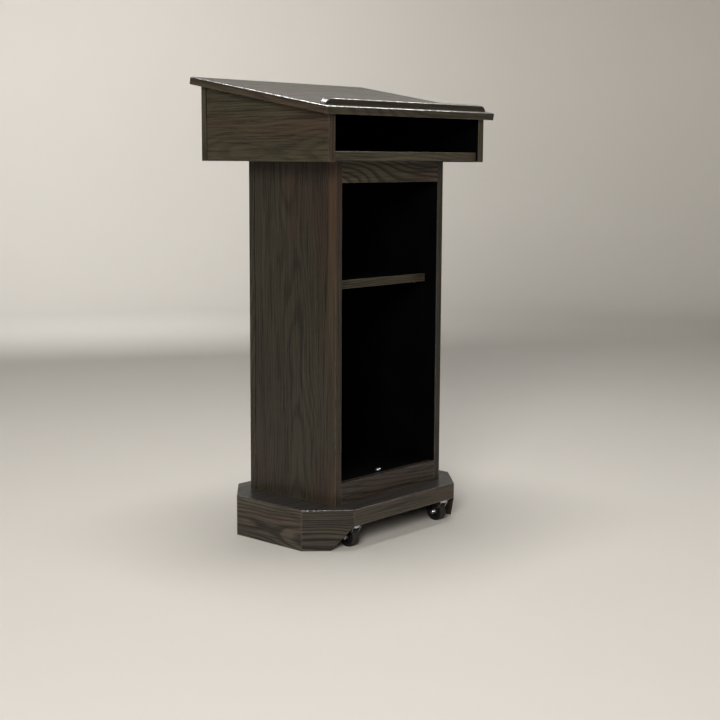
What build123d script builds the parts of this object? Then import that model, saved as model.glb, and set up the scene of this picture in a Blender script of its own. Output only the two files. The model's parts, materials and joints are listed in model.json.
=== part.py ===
from build123d import *

import os
from math import cos, radians, sin, sqrt, tan

# Full-height wooden lectern: a sloped reading top over an open box, a column that is open on the
# speaker's side, with a shelf, and a plinth with cut corners that tilts and rolls on two casters.
# Millimetres. +Z is up, -Y is the speaker's open side, +Y faces the audience, +X is the speaker's right.
# The origin is on the floor, under the middle of the reading top.

# ---- Boards ---------------------------------------------------------------------------------------
TOTAL_HEIGHT = 1168.0
BOARD = 19.0  # reading top, audience-side panels, rails and skirts
PANEL = 22.0  # side panels, shelf and the floor of the upper box
EASE = 1.0  # small round on the long arrises
REVEAL_WIDTH = 2.0  # shadow groove between a side panel and the panel across its end
REVEAL_DEPTH = 3.0
CLEAT = 19.0

# ---- Reading top ----------------------------------------------------------------------------------
SLOPE = 9.8  # degrees, low at the speaker
TOP_WIDTH = 648.0
TOP_LENGTH = 478.6  # along the slope
TOP_ROUND = 4.0
STOP_LENGTH = 622.0
STOP_SETBACK = 19.5
STOP_HEIGHT = 15.0
STOP_END_RUN = 22.0  # length over which each end of the book stop rounds down to the board
STOP_ARRIS = 2.5

# ---- Upper box ------------------------------------------------------------------------------------
BOX_WIDTH = 600.0
BOX_DEPTH = 441.4
BOX_BOTTOM = 958.0
FLOOR_RAISE = 3.0  # the box floor sits this far above the bottom of its sides
FLOOR_SETBACK = 8.0
CLEAT_END_GAP = 22.0

# ---- Column ---------------------------------------------------------------------------------------
COLUMN_WIDTH = 416.0
COLUMN_BACK = -159.0  # speaker's side
COLUMN_FRONT = 145.0  # audience side
OPENING_TOP = 907.0
OPENING_BOTTOM = 159.0
COLUMN_FLOOR_TOP = 157.0
SHELF_TOP = 664.5
SHELF_SETBACK = 39.0
SHELF_GAP = 1.0
SHELF_REST = 0.3  # play between the shelf and its pins
PIN_RADIUS = 2.5
PIN_OUT = 10.0
PIN_IN = 8.0
PIN_SPOTS_Y = (-88.0, 96.0)
TOP_CLEAT_HEIGHT = 38.0
TOP_CLEAT_Y = (-110.0, 100.0)
FLOOR_CLEAT_DEPTH = 36.0

# ---- Plinth ---------------------------------------------------------------------------------------
PLINTH_TOP = 104.0
PLINTH_HALF_WIDTH = 294.0
PLINTH_BACK = -217.0
PLINTH_FRONT = 201.0
CORNER_CUT = 93.5
PLINTH_ROUND = 2.5
APRON_BOTTOM = 62.0
TILT_CUT_RUN = 41.5  # how far the tilt cut runs along X at floor level
GLUE_BLOCK_LENGTH = 60.0
GLUE_BLOCK_SPREAD = 70.0

# ---- Fasteners ------------------------------------------------------------------------------------
SCREW_RADIUS = 2.0
SCREW_HEAD_RADIUS = 3.6
SCREW_HEAD_HEIGHT = 2.2
PILOT_GAP = 0.15
CLEAT_SCREW_ALONG = (-140.0, 0.0, 140.0)
CLEAT_SCREW_GRIP = 14.0  # how far each screw goes into the board it holds
STOP_SCREW_X = (-240.0, -80.0, 80.0, 240.0)
STOP_SCREW_GRIP = 9.0
COLUMN_SCREW_Y = (-70.0, 80.0)
COLUMN_SCREW_GRIP = 16.0
RECESS_WIDTH = 1.0
RECESS_DEPTH = 0.9
BOLT_RADIUS = 4.0
BOLT_GAP = 0.3
BOLT_HEAD_AF = 13.0
BOLT_HEAD_HEIGHT = 5.3
WASHER_RADIUS = 9.0
WASHER_THICK = 1.6
NUT_HEIGHT = 6.5
BOLT_TAIL = 3.0
BASE_BOLT_SPOTS = [(0.0, -119.0), (-100.0, 108.0), (100.0, 108.0)]

# ---- Casters --------------------------------------------------------------------------------------
CASTER_X = 176.0
CASTER_Y = -193.0
TRAIL = 16.0
WHEEL_RADIUS = 25.0
TREAD_WIDTH = 22.0
TREAD_ROUND = 3.5
RIM_RADIUS = 21.0
HUB_HALF_WIDTH = 12.5
HUB_BOSS_RADIUS = 6.5
WEB_FOOT = (4.0, 8.5)  # half thickness and radius where the web leaves the boss
WEB_HEAD = (3.5, 15.5)  # the same where it meets the rim
RIM_INNER_RADIUS = 18.0
RIM_INSET = 1.0
AXLE_RADIUS = 3.0
RUNNING_GAP = 0.06
PLATE_X = 40.0
PLATE_Y = 38.0
PLATE_THICK = 2.5
PLATE_CORNER = 5.0
PLATE_HOLE_X = 14.0
PLATE_HOLE_Y = 13.0
CROWN_BOTTOM = 52.0
CROWN_THICK = 2.5
CROWN_RADIUS = 14.5
RIM_WALL = 1.5
RIM_HEIGHT = 3.0
KINGPIN_RADIUS = 4.0
KINGPIN_HEAD_RADIUS = 6.5
KINGPIN_HEAD_HEIGHT = 2.0
KINGPIN_GAP = 0.3  # play between the kingpin's lower head and the fork
BALL_COUNT = 12
BALL_RADIUS = 2.0
BALL_RING = 10.5
BALL_Z = 57.0
LEG_INNER = 13.0
LEG_THICK = 2.5
LEG_TOP = (-11.0, 13.0)  # the leg's width along Y where it meets the crown
LEG_EYE = 7.5
AXLE_HEAD_AF = 10.0
AXLE_HEAD_HEIGHT = 4.0
AXLE_NUT_HEIGHT = 5.0
AXLE_TAIL = 1.5
BLOCK_NEAR_X = 130.0
BLOCK_FAR_X = 205.0
BLOCK_FRONT_Y = -138.0
CASTER_SCREW_LENGTH = 18.0

# ---- Worked out from the above --------------------------------------------------------------------
RISE = sin(radians(SLOPE))
RUN = cos(radians(SLOPE))
BACK_EDGE_Y = -(TOP_LENGTH * RUN + BOARD * RISE) / 2
BACK_EDGE_Z = TOTAL_HEIGHT - TOP_LENGTH * RISE
BACK_EDGE = Vector(0, BACK_EDGE_Y, BACK_EDGE_Z)
UP_SLOPE = Vector(0, RUN, RISE)
TOP_NORMAL = Vector(0, -RISE, RUN)
THROUGH_TOP = Axis((0, 0, 0), (0, -RISE, RUN))

BOX_BACK = -BOX_DEPTH / 2
BOX_END = BOX_DEPTH / 2 - BOARD  # where the box's side panels meet the audience-side panel
BOX_INSIDE = BOX_WIDTH / 2 - PANEL
BOX_FLOOR_BOTTOM = BOX_BOTTOM + FLOOR_RAISE
COLUMN_INSIDE = COLUMN_WIDTH / 2 - PANEL
COLUMN_END = COLUMN_FRONT - BOARD
COLUMN_FLOOR_BOTTOM = COLUMN_FLOOR_TOP - BOARD
SHELF_BOTTOM = SHELF_TOP - PANEL
PIN_Z = SHELF_BOTTOM - SHELF_REST - PIN_RADIUS
PLINTH_UNDERSIDE = PLINTH_TOP - BOARD
PLINTH_MIDDLE = (PLINTH_BACK + PLINTH_FRONT) / 2
PLINTH_HALF_DEPTH = (PLINTH_FRONT - PLINTH_BACK) / 2
APRON_HALF_WIDTH = PLINTH_HALF_WIDTH - CORNER_CUT
SIDES = {"left": -1, "right": 1}

os.makedirs("parts", exist_ok=True)


def finish(piece, label):
    """Names a finished piece and writes it as its own STEP file."""
    piece.part.label = label
    export_step(piece.part, f"parts/{label}.step")


def under_top(y):
    """Height of the reading top's underside at y."""
    return BACK_EDGE_Z + (y - BACK_EDGE_Y) * tan(radians(SLOPE)) - BOARD / RUN


def slab(x_range, y_range, z_range, mode=Mode.ADD):
    """A rectangular board between two limits on each axis, in the part being built."""
    with BuildSketch(Plane.XY.offset(z_range[0])) as outline:
        with Locations((sum(x_range) / 2, sum(y_range) / 2)):
            Rectangle(abs(x_range[1] - x_range[0]), y_range[1] - y_range[0])
    extrude(outline.sketch, amount=z_range[1] - z_range[0], mode=mode)


def drill(plane, spots, radius, depth):
    """Round holes that go depth into the part being built, against plane's normal."""
    with BuildSketch(plane) as holes:
        with Locations(*spots):
            Circle(radius)
    extrude(holes.sketch, amount=-depth, mode=Mode.SUBTRACT)


def drill_pilots(plane, spots, depth):
    """Screw holes in the part being built, from plane to depth below it."""
    drill(plane, spots, SCREW_RADIUS + PILOT_GAP, depth)


def on_underside(up_slope, depth):
    """Plane that faces down, depth below the reading top's surface; its local y runs down the slope."""
    origin = BACK_EDGE + UP_SLOPE * up_slope - TOP_NORMAL * depth
    return Plane(origin=origin, x_dir=(1, 0, 0), z_dir=-TOP_NORMAL)


def facing_down(z):
    """Level plane at z that faces down; its local y runs towards the speaker."""
    return Plane(origin=(0, 0, z), x_dir=(1, 0, 0), z_dir=(0, 0, -1))


def wall(x, facing=1):
    """Upright plane at x that faces +X (1) or -X (-1); its local x is facing * y and its local y is z."""
    return Plane(origin=(x, 0, 0), x_dir=(0, facing, 0), z_dir=(facing, 0, 0))


def on_side(spots, sign):
    """Those spots that lie on one side of the middle plane."""
    return [spot for spot in spots if spot[0] * sign > 0]


def pan_screw(length):
    """One pan-head screw that stands on its head's seat, with its shank below."""
    tip = 2 * SCREW_RADIUS
    with BuildPart() as screw:
        with BuildSketch(Plane.XZ):
            with BuildLine():
                Polyline(
                    (SCREW_HEAD_RADIUS, 0),
                    (SCREW_RADIUS, 0),
                    (SCREW_RADIUS, tip - length),
                    (0, -length),
                    (0, SCREW_HEAD_HEIGHT),
                )
                ThreePointArc(
                    (0, SCREW_HEAD_HEIGHT),
                    (0.75 * SCREW_HEAD_RADIUS, 0.75 * SCREW_HEAD_HEIGHT),
                    (SCREW_HEAD_RADIUS, 0),
                )
            make_face()
        revolve(axis=Axis.Z)
        with BuildSketch(Plane.XY.offset(SCREW_HEAD_HEIGHT)):
            Rectangle(SCREW_HEAD_RADIUS, RECESS_WIDTH)
            Rectangle(RECESS_WIDTH, SCREW_HEAD_RADIUS)
        extrude(amount=-RECESS_DEPTH, mode=Mode.SUBTRACT)
    return screw.part


def pan_screws(label, plane, spots, length):
    """A group of equal screws with their heads on plane."""
    screw = pan_screw(length)
    with BuildPart() as screws:
        with Locations(plane):
            with Locations(*spots):
                add(screw)
    finish(screws, label)


# ---- Reading top and book stop --------------------------------------------------------------------
CLEAT_SCREW_LENGTH = CLEAT + CLEAT_SCREW_GRIP
CLEAT_SCREW_X = BOX_INSIDE - CLEAT / 2
CLEAT_SCREW_SPOTS = [(sign * CLEAT_SCREW_X, along) for sign in (-1, 1) for along in CLEAT_SCREW_ALONG]
STOP_SCREW_LENGTH = BOARD + STOP_SCREW_GRIP
STOP_SCREW_SPOTS = [(x, 0) for x in STOP_SCREW_X]
cleat_underside = on_underside(TOP_LENGTH / 2, BOARD + CLEAT)
stop_underside = on_underside(STOP_SETBACK + BOARD / 2, BOARD)

with BuildPart() as reading_top:
    with BuildSketch(Plane(origin=BACK_EDGE, x_dir=(1, 0, 0), z_dir=TOP_NORMAL)):
        with Locations((0, TOP_LENGTH / 2)):
            Rectangle(TOP_WIDTH, TOP_LENGTH)
    extrude(amount=-BOARD)
    fillet(reading_top.faces().sort_by(THROUGH_TOP)[-1].edges(), TOP_ROUND)
    fillet(reading_top.faces().sort_by(THROUGH_TOP)[0].edges(), EASE)
    drill_pilots(cleat_underside, CLEAT_SCREW_SPOTS, CLEAT_SCREW_LENGTH)
    drill_pilots(stop_underside, STOP_SCREW_SPOTS, BOARD)
finish(reading_top, "reading_top")

with BuildPart() as book_stop:
    stop_plane = Plane(origin=BACK_EDGE + UP_SLOPE * STOP_SETBACK, x_dir=(1, 0, 0), z_dir=-UP_SLOPE)
    half_length = STOP_LENGTH / 2
    half_flat = half_length - STOP_END_RUN
    with BuildSketch(stop_plane):
        with BuildLine():
            Line((-half_length, 0), (half_length, 0))
            TangentArc((half_flat, STOP_HEIGHT), (half_length, 0), tangent=(1, 0))
            TangentArc((-half_flat, STOP_HEIGHT), (-half_length, 0), tangent=(-1, 0))
            Line((half_flat, STOP_HEIGHT), (-half_flat, STOP_HEIGHT))
        make_face()
    extrude(amount=-BOARD)
    resting = book_stop.faces().sort_by(THROUGH_TOP)[0].edges()
    long_faces = book_stop.faces().filter_by(Axis((0, 0, 0), (0, RUN, RISE)))
    fillet([edge for edge in long_faces.edges() if edge not in resting], STOP_ARRIS)
    drill_pilots(stop_underside, STOP_SCREW_SPOTS, STOP_SCREW_LENGTH)
finish(book_stop, "book_stop")

pan_screws("top_cleat_screws", cleat_underside, CLEAT_SCREW_SPOTS, CLEAT_SCREW_LENGTH)
pan_screws("book_stop_screws", stop_underside, STOP_SCREW_SPOTS, STOP_SCREW_LENGTH)

# ---- Upper box ------------------------------------------------------------------------------------
for side, sign in SIDES.items():
    outer = sign * BOX_WIDTH / 2
    with BuildPart() as box_side:
        with BuildSketch(wall(sign * BOX_INSIDE)):
            Polygon(
                (BOX_BACK, BOX_BOTTOM),
                (BOX_END, BOX_BOTTOM),
                (BOX_END, under_top(BOX_END)),
                (BOX_BACK, under_top(BOX_BACK)),
                align=None,
            )
        extrude(amount=sign * PANEL)
        fillet(box_side.edges().filter_by(Axis.Z).group_by(Axis.Y)[0], EASE)
        groove_y = (BOX_END - REVEAL_WIDTH, BOX_END)
        slab((outer - sign * REVEAL_DEPTH, outer), groove_y, (BOX_BOTTOM, TOTAL_HEIGHT), Mode.SUBTRACT)
    finish(box_side, f"box_side_{side}")

    cleat_back = BOX_BACK + CLEAT_END_GAP
    cleat_front = BOX_END - CLEAT_END_GAP
    with BuildPart() as top_cleat:
        with BuildSketch(wall(sign * BOX_INSIDE)):
            Polygon(
                (cleat_back, under_top(cleat_back)),
                (cleat_front, under_top(cleat_front)),
                (cleat_front, under_top(cleat_front) - CLEAT / RUN),
                (cleat_back, under_top(cleat_back) - CLEAT / RUN),
                align=None,
            )
        extrude(amount=-sign * CLEAT)
        drill_pilots(cleat_underside, on_side(CLEAT_SCREW_SPOTS, sign), CLEAT_SCREW_LENGTH)
    finish(top_cleat, f"top_cleat_{side}")

with BuildPart() as box_front_panel:
    with BuildSketch(wall(0)):
        Polygon(
            (BOX_END, BOX_BOTTOM),
            (BOX_DEPTH / 2, BOX_BOTTOM),
            (BOX_DEPTH / 2, under_top(BOX_DEPTH / 2)),
            (BOX_END, under_top(BOX_END)),
            align=None,
        )
    extrude(amount=BOX_WIDTH / 2, both=True)
    fillet(box_front_panel.edges().filter_by(Axis.Z).group_by(Axis.Y)[-1], EASE)
finish(box_front_panel, "box_front_panel")

# ---- Fixings between the box and the column -------------------------------------------------------
COLUMN_CLEAT_BOTTOM = BOX_FLOOR_BOTTOM - TOP_CLEAT_HEIGHT
COLUMN_SCREW_LENGTH = TOP_CLEAT_HEIGHT + COLUMN_SCREW_GRIP
COLUMN_SCREW_X = COLUMN_INSIDE - CLEAT / 2
COLUMN_SCREW_SPOTS = [(sign * COLUMN_SCREW_X, along) for sign in (-1, 1) for along in COLUMN_SCREW_Y]
column_cleat_underside = facing_down(COLUMN_CLEAT_BOTTOM)

with BuildPart() as box_floor:
    floor_y = (BOX_BACK + FLOOR_SETBACK, BOX_END)
    slab((-BOX_INSIDE, BOX_INSIDE), floor_y, (BOX_FLOOR_BOTTOM, BOX_FLOOR_BOTTOM + PANEL))
    fillet(box_floor.edges().filter_by(Axis.X).group_by(Axis.Y)[0], EASE)
    drill_pilots(column_cleat_underside, COLUMN_SCREW_SPOTS, COLUMN_SCREW_LENGTH)
finish(box_floor, "box_floor")

pan_screws("column_cleat_screws", column_cleat_underside, COLUMN_SCREW_SPOTS, COLUMN_SCREW_LENGTH)

# ---- Column ---------------------------------------------------------------------------------------
COLUMN_Z = (PLINTH_TOP, BOX_FLOOR_BOTTOM)

for side, sign in SIDES.items():
    outer = sign * COLUMN_WIDTH / 2
    inner = sign * COLUMN_INSIDE
    with BuildPart() as column_side:
        slab((inner, outer), (COLUMN_BACK, COLUMN_END), COLUMN_Z)
        fillet(column_side.edges().filter_by(Axis.Z).group_by(Axis.Y)[0], EASE)
        groove_y = (COLUMN_END - REVEAL_WIDTH, COLUMN_END)
        slab((outer - sign * REVEAL_DEPTH, outer), groove_y, COLUMN_Z, Mode.SUBTRACT)
        drill(wall(inner, -sign), [(-sign * y, PIN_Z) for y in PIN_SPOTS_Y], PIN_RADIUS, PIN_IN)
    finish(column_side, f"column_side_{side}")

    with BuildPart() as column_cleat:
        slab((inner - sign * CLEAT, inner), TOP_CLEAT_Y, (COLUMN_CLEAT_BOTTOM, BOX_FLOOR_BOTTOM))
        drill_pilots(column_cleat_underside, on_side(COLUMN_SCREW_SPOTS, sign), COLUMN_SCREW_LENGTH)
    finish(column_cleat, f"column_cleat_{side}")

with BuildPart() as column_front_panel:
    slab((-COLUMN_WIDTH / 2, COLUMN_WIDTH / 2), (COLUMN_END, COLUMN_FRONT), COLUMN_Z)
    fillet(column_front_panel.edges().filter_by(Axis.Z).group_by(Axis.Y)[-1], EASE)
finish(column_front_panel, "column_front_panel")

RAILS = {
    "column_top_rail": (OPENING_TOP, BOX_FLOOR_BOTTOM),
    "column_bottom_rail": (PLINTH_TOP, OPENING_BOTTOM),
}
for label, z_range in RAILS.items():
    with BuildPart() as rail:
        slab((-COLUMN_INSIDE, COLUMN_INSIDE), (COLUMN_BACK, COLUMN_BACK + BOARD), z_range)
    finish(rail, label)

with BuildPart() as middle_shelf:
    shelf_half = COLUMN_INSIDE - SHELF_GAP
    shelf_y = (COLUMN_BACK + SHELF_SETBACK, COLUMN_END - SHELF_GAP)
    slab((-shelf_half, shelf_half), shelf_y, (SHELF_BOTTOM, SHELF_TOP))
    fillet(middle_shelf.edges().filter_by(Axis.X).group_by(Axis.Y)[0], EASE)
finish(middle_shelf, "middle_shelf")

with BuildPart() as shelf_pins:
    for sign in SIDES.values():
        with BuildSketch(wall(sign * (COLUMN_INSIDE + PIN_IN), -sign)):
            with Locations(*[(-sign * y, PIN_Z) for y in PIN_SPOTS_Y]):
                Circle(PIN_RADIUS)
        extrude(amount=PIN_IN + PIN_OUT)
finish(shelf_pins, "shelf_pins")

with BuildPart() as column_floor:
    floor_z = (COLUMN_FLOOR_BOTTOM, COLUMN_FLOOR_TOP)
    slab((-COLUMN_INSIDE, COLUMN_INSIDE), (COLUMN_BACK + BOARD, COLUMN_END), floor_z)
    drill(Plane.XY.offset(COLUMN_FLOOR_TOP), BASE_BOLT_SPOTS, BOLT_RADIUS + BOLT_GAP, BOARD)
finish(column_floor, "column_floor")

FLOOR_CLEATS = {
    "floor_cleat_speaker": (COLUMN_BACK + BOARD, COLUMN_BACK + BOARD + FLOOR_CLEAT_DEPTH),
    "floor_cleat_audience": (COLUMN_END - FLOOR_CLEAT_DEPTH, COLUMN_END),
}
for label, y_range in FLOOR_CLEATS.items():
    height = COLUMN_FLOOR_BOTTOM - PLINTH_TOP
    spots = [spot for spot in BASE_BOLT_SPOTS if y_range[0] < spot[1] < y_range[1]]
    with BuildPart() as floor_cleat:
        slab((-COLUMN_INSIDE, COLUMN_INSIDE), y_range, (PLINTH_TOP, COLUMN_FLOOR_BOTTOM))
        drill(Plane.XY.offset(COLUMN_FLOOR_BOTTOM), spots, BOLT_RADIUS + BOLT_GAP, height)
    finish(floor_cleat, label)

# ---- Bolts from the column floor through the plinth -----------------------------------------------
with BuildPart() as base_bolts:
    with BuildSketch(Plane.XY.offset(COLUMN_FLOOR_TOP)):
        with Locations(*BASE_BOLT_SPOTS):
            RegularPolygon(BOLT_HEAD_AF / 2, 6, major_radius=False)
    extrude(amount=BOLT_HEAD_HEIGHT)
    chamfer(base_bolts.faces().group_by(Axis.Z)[-1].edges(), EASE)
    with BuildSketch(Plane.XY.offset(COLUMN_FLOOR_TOP)):
        with Locations(*BASE_BOLT_SPOTS):
            Circle(BOLT_RADIUS)
    extrude(amount=PLINTH_UNDERSIDE - WASHER_THICK - NUT_HEIGHT - BOLT_TAIL - COLUMN_FLOOR_TOP)
finish(base_bolts, "base_bolts")

with BuildPart() as base_washers:
    with BuildSketch(Plane.XY.offset(PLINTH_UNDERSIDE)):
        with Locations(*BASE_BOLT_SPOTS):
            Circle(WASHER_RADIUS)
            Circle(BOLT_RADIUS + BOLT_GAP, mode=Mode.SUBTRACT)
    extrude(amount=-WASHER_THICK)
finish(base_washers, "base_washers")

with BuildPart() as base_nuts:
    with BuildSketch(Plane.XY.offset(PLINTH_UNDERSIDE - WASHER_THICK)):
        with Locations(*BASE_BOLT_SPOTS):
            RegularPolygon(BOLT_HEAD_AF / 2, 6, major_radius=False)
            Circle(BOLT_RADIUS + PILOT_GAP, mode=Mode.SUBTRACT)
    extrude(amount=-NUT_HEIGHT)
finish(base_nuts, "base_nuts")

# ---- Plinth ---------------------------------------------------------------------------------------
SKIRTS = (
    "skirt_right",
    "corner_audience_right",
    "skirt_audience",
    "corner_audience_left",
    "skirt_left",
    "corner_speaker_left",
    "skirt_speaker",
    "corner_speaker_right",
)
PLATE_UNDERSIDE = APRON_BOTTOM - PLATE_THICK
CASTER_SCREW_SPOTS = [
    (sign * CASTER_X + dx, -CASTER_Y + dy)
    for sign in SIDES.values()
    for dx in (-PLATE_HOLE_X, PLATE_HOLE_X)
    for dy in (-PLATE_HOLE_Y, PLATE_HOLE_Y)
]
caster_seat = facing_down(PLATE_UNDERSIDE)


def plinth_outline(inset):
    """The plinth's eight corners, moved in by inset. They start at the speaker end of the right side."""
    half_x = PLINTH_HALF_WIDTH - inset
    half_y = PLINTH_HALF_DEPTH - inset
    cut = CORNER_CUT - inset * (2 - sqrt(2))
    right = [(half_x, cut - half_y), (half_x, half_y - cut)]
    audience = [(half_x - cut, half_y), (cut - half_x, half_y)]
    left = [(-half_x, half_y - cut), (-half_x, cut - half_y)]
    speaker = [(cut - half_x, -half_y), (half_x - cut, -half_y)]
    return [(x, PLINTH_MIDDLE + y) for x, y in right + audience + left + speaker]


outer_ring = plinth_outline(0)
inner_ring = plinth_outline(BOARD)

with BuildPart() as plinth_block:
    with BuildSketch():
        Polygon(*outer_ring, align=None)
    extrude(amount=PLINTH_TOP)
    fillet(plinth_block.edges().filter_by(Axis.Z), PLINTH_ROUND)
    fillet(plinth_block.faces().sort_by(Axis.Z)[-1].edges(), PLINTH_ROUND)

with BuildPart() as plinth_top:
    with BuildSketch(Plane.XY.offset(PLINTH_UNDERSIDE)):
        Polygon(*inner_ring, align=None)
    with BuildSketch(Plane.XY.offset(PLINTH_TOP)):
        Polygon(*outer_ring, align=None)
    loft()
    add(plinth_block.part, mode=Mode.INTERSECT)
    drill(Plane.XY.offset(PLINTH_TOP), BASE_BOLT_SPOTS, BOLT_RADIUS + BOLT_GAP, BOARD)
finish(plinth_top, "plinth_top")


def tilt_cut(sign):
    """Takes the lower corner off a speaker-side corner panel, so that the plinth can tip back."""
    with BuildSketch(Plane.XZ) as cut:
        Polygon(
            (sign * (APRON_HALF_WIDTH + TILT_CUT_RUN), 0),
            (sign * APRON_HALF_WIDTH, APRON_BOTTOM),
            (sign * (APRON_HALF_WIDTH - BOARD), APRON_BOTTOM),
            (sign * (APRON_HALF_WIDTH - BOARD), 0),
            align=None,
        )
    extrude(cut.sketch, amount=-PLINTH_BACK, mode=Mode.SUBTRACT)


for index, label in enumerate(SKIRTS):
    after = (index + 1) % len(SKIRTS)
    start = Vector(*outer_ring[index], PLINTH_TOP)
    along = Vector(*outer_ring[after], PLINTH_TOP) - start
    outward = Vector(along.Y, -along.X, 0).normalized()
    mitre = Plane(origin=start, x_dir=along, z_dir=outward - Vector(0, 0, 1))
    bottom = APRON_BOTTOM if label == "skirt_speaker" else 0
    with BuildPart() as skirt:
        with BuildSketch(Plane.XY.offset(bottom)):
            Polygon(outer_ring[index], outer_ring[after], inner_ring[after], inner_ring[index], align=None)
        extrude(amount=PLINTH_TOP - bottom)
        add(plinth_block.part, mode=Mode.INTERSECT)
        split(bisect_by=mitre, keep=Keep.TOP)
        if label == "skirt_speaker":
            drill_pilots(caster_seat, CASTER_SCREW_SPOTS, CASTER_SCREW_LENGTH)
        if label.startswith("corner_speaker"):
            tilt_cut(SIDES[label.rpartition("_")[2]])
    finish(skirt, label)

with BuildPart() as glue_blocks:
    block_z = (PLINTH_UNDERSIDE - CLEAT, PLINTH_UNDERSIDE)
    for sign in SIDES.values():
        for centre in (-GLUE_BLOCK_SPREAD, GLUE_BLOCK_SPREAD):
            ends = (centre - GLUE_BLOCK_LENGTH / 2, centre + GLUE_BLOCK_LENGTH / 2)
            face_x = sign * (PLINTH_HALF_WIDTH - BOARD)
            block_y = (PLINTH_MIDDLE + ends[0], PLINTH_MIDDLE + ends[1])
            slab((face_x - sign * CLEAT, face_x), block_y, block_z)
    for centre in (-GLUE_BLOCK_SPREAD, GLUE_BLOCK_SPREAD):
        ends = (centre - GLUE_BLOCK_LENGTH / 2, centre + GLUE_BLOCK_LENGTH / 2)
        slab(ends, (PLINTH_FRONT - BOARD - CLEAT, PLINTH_FRONT - BOARD), block_z)
finish(glue_blocks, "glue_blocks")

# ---- Casters --------------------------------------------------------------------------------------
AXLE_Y = CASTER_Y + TRAIL
LEG_OUTER = LEG_INNER + LEG_THICK


def plan(sign, z):
    """Level plane at z with its origin on one caster's swivel axis."""
    return Plane(origin=(sign * CASTER_X, CASTER_Y, z))


def across(sign, x):
    """Upright plane x away from a caster's middle, with its origin at the axle's height; it faces +X."""
    return Plane(origin=(sign * CASTER_X + x, AXLE_Y, WHEEL_RADIUS), x_dir=(0, 1, 0), z_dir=(1, 0, 0))


def wheel_section(sign):
    """Upright plane through the axle; its local x runs along the axle and its local y is the radius."""
    return Plane(origin=(sign * CASTER_X, AXLE_Y, WHEEL_RADIUS), x_dir=(1, 0, 0), z_dir=(0, -1, 0))


def make_caster_block(side, sign):
    """The block behind the apron that carries the plate, with one corner cut to the corner panel."""
    back_y = PLINTH_BACK + BOARD
    panel_line = -inner_ring[5][0] - inner_ring[5][1]
    with BuildPart() as block:
        with BuildSketch(Plane.XY.offset(APRON_BOTTOM)):
            Polygon(
                (sign * BLOCK_NEAR_X, back_y),
                (sign * (panel_line + back_y), back_y),
                (sign * BLOCK_FAR_X, BLOCK_FAR_X - panel_line),
                (sign * BLOCK_FAR_X, BLOCK_FRONT_Y),
                (sign * BLOCK_NEAR_X, BLOCK_FRONT_Y),
                align=None,
            )
        extrude(amount=PLINTH_UNDERSIDE - APRON_BOTTOM)
        drill_pilots(caster_seat, on_side(CASTER_SCREW_SPOTS, sign), CASTER_SCREW_LENGTH)
    finish(block, f"caster_block_{side}")


def make_plate(side, sign):
    """The plate that is screwed up under the plinth."""
    with BuildPart() as plate:
        with BuildSketch(plan(sign, PLATE_UNDERSIDE)):
            RectangleRounded(PLATE_X, PLATE_Y, PLATE_CORNER)
            with GridLocations(2 * PLATE_HOLE_X, 2 * PLATE_HOLE_Y, 2, 2):
                Circle(SCREW_RADIUS + PILOT_GAP, mode=Mode.SUBTRACT)
        extrude(amount=PLATE_THICK)
    finish(plate, f"caster_plate_{side}")
    pan_screws(f"caster_screws_{side}", caster_seat, on_side(CASTER_SCREW_SPOTS, sign), CASTER_SCREW_LENGTH)


def make_kingpin(side, sign):
    """The rivet under the plate that the fork turns on."""
    lower_head = CROWN_BOTTOM - KINGPIN_GAP
    with BuildPart() as kingpin:
        with BuildSketch(plan(sign, lower_head - KINGPIN_HEAD_HEIGHT)):
            Circle(KINGPIN_HEAD_RADIUS)
        extrude(amount=KINGPIN_HEAD_HEIGHT)
        fillet(kingpin.faces().sort_by(Axis.Z)[0].edges(), EASE)
        with BuildSketch(plan(sign, lower_head)):
            Circle(KINGPIN_RADIUS)
        extrude(amount=PLATE_UNDERSIDE - lower_head)
        with BuildSketch(plan(sign, PLATE_UNDERSIDE)):
            Circle(KINGPIN_HEAD_RADIUS)
        extrude(amount=-KINGPIN_HEAD_HEIGHT)
    finish(kingpin, f"caster_kingpin_{side}")


def make_balls(side, sign):
    """The ring of balls between the plate and the fork's crown."""
    with BuildPart() as balls:
        with Locations(plan(sign, BALL_Z)):
            with PolarLocations(BALL_RING, BALL_COUNT):
                Sphere(BALL_RADIUS)
    finish(balls, f"caster_balls_{side}")


def make_fork(side, sign):
    """A crown with a raised rim round the balls, and two legs that lean back to the axle."""
    crown_top = CROWN_BOTTOM + CROWN_THICK
    leg_middle = sum(LEG_TOP) / 2
    with BuildPart() as fork:
        with BuildSketch(plan(sign, CROWN_BOTTOM)):
            Circle(CROWN_RADIUS)
            with Locations((0, leg_middle)):
                Rectangle(2 * LEG_OUTER, LEG_TOP[1] - LEG_TOP[0])
        extrude(amount=CROWN_THICK)
        with BuildSketch(plan(sign, crown_top)):
            Circle(CROWN_RADIUS)
            Circle(CROWN_RADIUS - RIM_WALL, mode=Mode.SUBTRACT)
        extrude(amount=RIM_HEIGHT)
        for x in (-LEG_OUTER, LEG_INNER):
            with BuildSketch(across(sign, x)):
                Circle(LEG_EYE)
                with Locations((leg_middle - TRAIL, crown_top - CROWN_THICK / 2 - WHEEL_RADIUS)):
                    Rectangle(LEG_TOP[1] - LEG_TOP[0], CROWN_THICK)
                make_hull()
            extrude(amount=LEG_THICK)
        drill(plan(sign, crown_top), [(0, 0)], KINGPIN_RADIUS + RUNNING_GAP, CROWN_THICK)
        drill(across(sign, LEG_OUTER), [(0, 0)], AXLE_RADIUS + PILOT_GAP, 2 * LEG_OUTER)
    finish(fork, f"caster_fork_{side}")


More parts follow.
